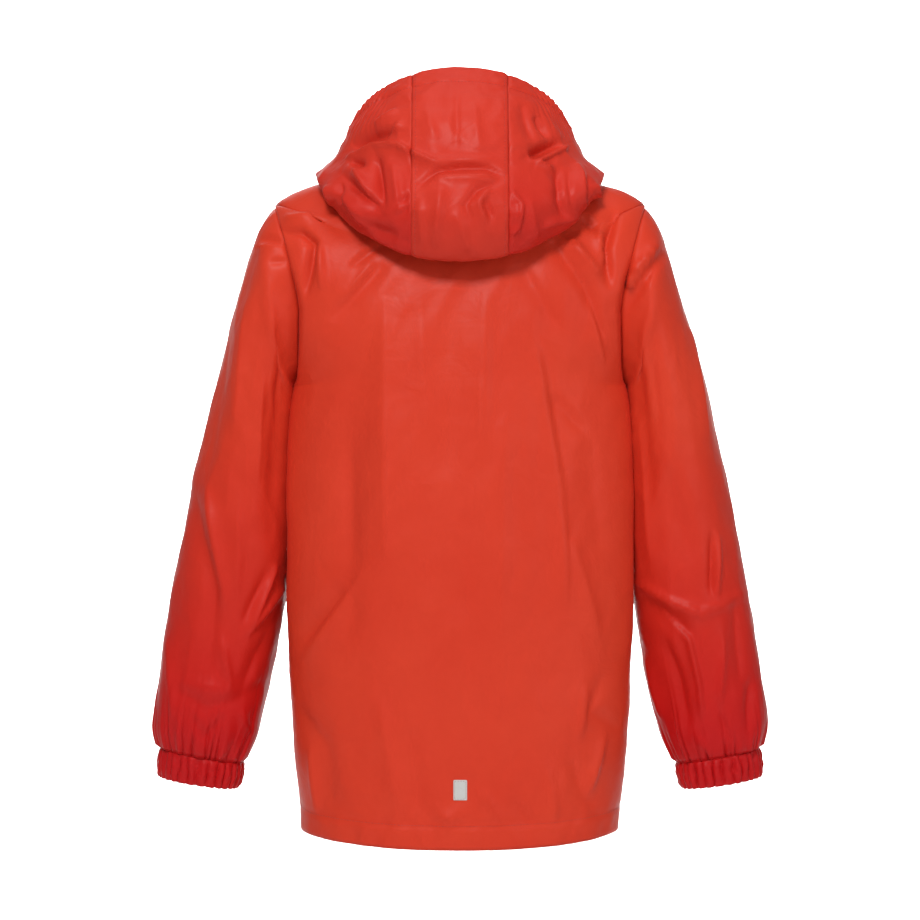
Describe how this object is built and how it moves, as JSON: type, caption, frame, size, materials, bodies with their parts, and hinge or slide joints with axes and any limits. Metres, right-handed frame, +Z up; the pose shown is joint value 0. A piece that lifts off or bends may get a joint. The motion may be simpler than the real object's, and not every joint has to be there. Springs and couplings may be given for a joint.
{
  "type": "kids rain jacket",
  "caption": "Hip-length hooded rain jacket for a child, in thin coated cloth, with the hood thrown back, gathered elastic cuffs, a turned hem and a full-length front zip.",
  "frame": {"origin": "middle of the neck opening at the height of the shoulder seams, where the wearer's shoulders hold it", "axes": "+Z up along the body, -Y to the jacket's front with its zip, +X to the wearer's left"},
  "size_m": [0.5558, 0.2209, 0.684],
  "materials": {
    "coated_cloth": "light coated plain weave with a soft sheen",
    "reflective_tape": "fine-grained light grey reflective tape",
    "zip_tape": "matt woven tape",
    "zip_metal": "satin paint on cast metal"
  },
  "bodies": {
    "garment": {"back": "coated_cloth", "front_left": "coated_cloth", "front_right": "coated_cloth", "sleeve_left": "coated_cloth", "sleeve_right": "coated_cloth", "cuff_left": "coated_cloth", "cuff_right": "coated_cloth", "hood_centre": "coated_cloth", "hood_side_left": "coated_cloth", "hood_side_right": "coated_cloth", "reflective_patch": "reflective_tape", "zip_tape_left": "zip_tape", "zip_tape_right": "zip_tape", "zip_slider": "zip_metal"},
    "zip_pull": {"zip_pull": "zip_metal"}
  },
  "joints": [
    {"name": "zip_pull_swing", "type": "hinge", "parent": "garment", "child": "zip_pull", "pos_m": [0, -0.07035, -0.01], "axis": [-1, 0, 0], "range_deg": [0, 150]}
  ]
}
